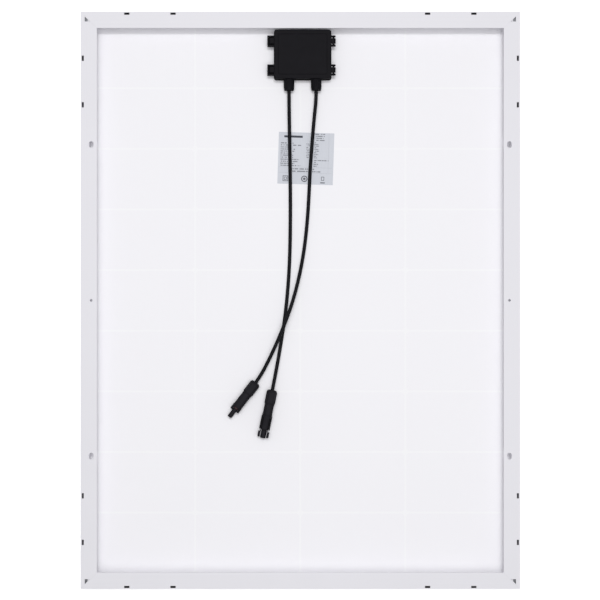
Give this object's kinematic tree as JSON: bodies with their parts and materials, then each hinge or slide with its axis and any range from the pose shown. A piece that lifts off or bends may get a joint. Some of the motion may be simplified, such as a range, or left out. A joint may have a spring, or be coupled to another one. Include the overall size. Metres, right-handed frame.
{
  "type": "photovoltaic solar panel",
  "caption": "Framed rigid photovoltaic panel with hollow mitred rails, hinged junction box, glands, two output cables and latching plug connectors.",
  "frame": {"origin": "middle of the front face of the frame, on the plane of the front lips that the panel rests on when it lies face down", "axes": "+X across the width, +Y along the length towards the junction box, +Z out of the rear side"},
  "size_m": [0.67, 0.88, 0.03],
  "materials": {
    "anodised_frame": "satin clear anodised, fine extrusion grain",
    "corner_key_aluminium": "mill finish",
    "edge_sealant": "matte foam tape",
    "solar_glass": "low-iron tempered glass, fine texture",
    "encapsulant": "clear laminated resin",
    "silicon_cell": "dark blue textured silicon with fine silver fingers",
    "tinned_ribbon": "tinned copper, satin",
    "white_backsheet": "semi-matte white polymer film",
    "label_foil": "silver-grey printed film",
    "white_silicone": "cured silicone",
    "black_box_plastic": "fine-textured black moulding",
    "black_gasket": "matte rubber",
    "contact_copper": "tinned copper alloy",
    "diode_epoxy": "black epoxy with a silver band",
    "cable_jacket": "satin black jacket",
    "copper_core": "stranded copper",
    "black_connector_plastic": "satin black moulding",
    "plug_contact_metal": "tinned brass",
    "dark_red_rubber": "dark red silicone"
  },
  "bodies": {
    "panel": {"long_rail_left": "anodised_frame", "long_rail_right": "anodised_frame", "short_rail_top": "anodised_frame", "short_rail_bottom": "anodised_frame", "corner_key_top_left": "corner_key_aluminium", "corner_key_top_right": "corner_key_aluminium", "corner_key_bottom_left": "corner_key_aluminium", "corner_key_bottom_right": "corner_key_aluminium", "edge_seal": "edge_sealant", "front_glass": "solar_glass", "front_encapsulant": "encapsulant", "rear_encapsulant": "encapsulant", "backsheet": "white_backsheet", "rating_label": "label_foil", "bus_ribbons": "tinned_ribbon", "box_adhesive": "white_silicone", "junction_box_base": "black_box_plastic", "lid_gasket": "black_gasket", "cell_string_1": "silicon_cell", "tabbing_ribbons_1": "tinned_ribbon", "cell_string_2": "silicon_cell", "tabbing_ribbons_2": "tinned_ribbon", "cell_string_3": "silicon_cell", "tabbing_ribbons_3": "tinned_ribbon", "cell_string_4": "silicon_cell", "tabbing_ribbons_4": "tinned_ribbon", "contact_rail_left": "contact_copper", "contact_rail_middle": "contact_copper", "contact_rail_right": "contact_copper", "bypass_diode_left": "diode_epoxy", "gland_seal_left": "black_gasket", "cable_stub_left": "cable_jacket", "cable_core_left": "copper_core", "cable_left": "cable_jacket", "bypass_diode_right": "diode_epoxy", "gland_seal_right": "black_gasket", "cable_stub_right": "cable_jacket", "cable_core_right": "copper_core", "cable_right": "cable_jacket", "female_connector_housing": "black_connector_plastic", "female_cable_seal": "black_gasket", "male_connector_housing": "black_connector_plastic", "male_cable_seal": "black_gasket", "socket_contact": "plug_contact_metal", "pin_contact": "plug_contact_metal", "socket_seal_ring": "dark_red_rubber"},
    "junction_box_lid": {"junction_box_lid": "black_box_plastic"},
    "gland_nut_left": {"gland_nut_left": "black_box_plastic"},
    "gland_nut_right": {"gland_nut_right": "black_box_plastic"},
    "female_coupling_nut": {"female_coupling_nut": "black_connector_plastic"},
    "male_coupling_nut": {"male_coupling_nut": "black_connector_plastic"},
    "latch_arm_left": {"latch_arm_left": "black_connector_plastic"},
    "latch_arm_right": {"latch_arm_right": "black_connector_plastic"}
  },
  "joints": [
    {"name": "lid_hinge", "type": "hinge", "parent": "panel", "child": "junction_box_lid", "pos_m": [0.0509, 0.37645, 0.0195], "axis": [0, 1, 0], "range_deg": [0, 105]},
    {"name": "gland_nut_left_turn", "type": "hinge", "parent": "panel", "child": "gland_nut_left", "pos_m": [-0.0173, 0.33, 0.0155], "axis": [0, 1, 0], "continuous": true},
    {"name": "gland_nut_right_turn", "type": "hinge", "parent": "panel", "child": "gland_nut_right", "pos_m": [0.0244, 0.33, 0.0155], "axis": [0, 1, 0], "continuous": true},
    {"name": "female_coupling_nut_turn", "type": "hinge", "parent": "panel", "child": "female_coupling_nut", "pos_m": [-0.07445, -0.13448, 0.0151], "axis": [-0.6143, -0.7891, 0], "continuous": true},
    {"name": "male_coupling_nut_turn", "type": "hinge", "parent": "panel", "child": "male_coupling_nut", "pos_m": [-0.04501, -0.14819, 0.0151], "axis": [-0.2011, -0.9796, 0], "continuous": true},
    {"name": "latch_arm_left_flex", "type": "hinge", "parent": "panel", "child": "latch_arm_left", "pos_m": [-0.05728, -0.17986, 0.0151], "axis": [0, 0, 1], "range_deg": [0, 1.4], "stiffness_Nm_per_rad": 2},
    {"name": "latch_arm_right_flex", "type": "hinge", "parent": "panel", "child": "latch_arm_right", "pos_m": [-0.04621, -0.18214, 0.0151], "axis": [0, 0, -1], "range_deg": [0, 1.4], "stiffness_Nm_per_rad": 2}
  ]
}
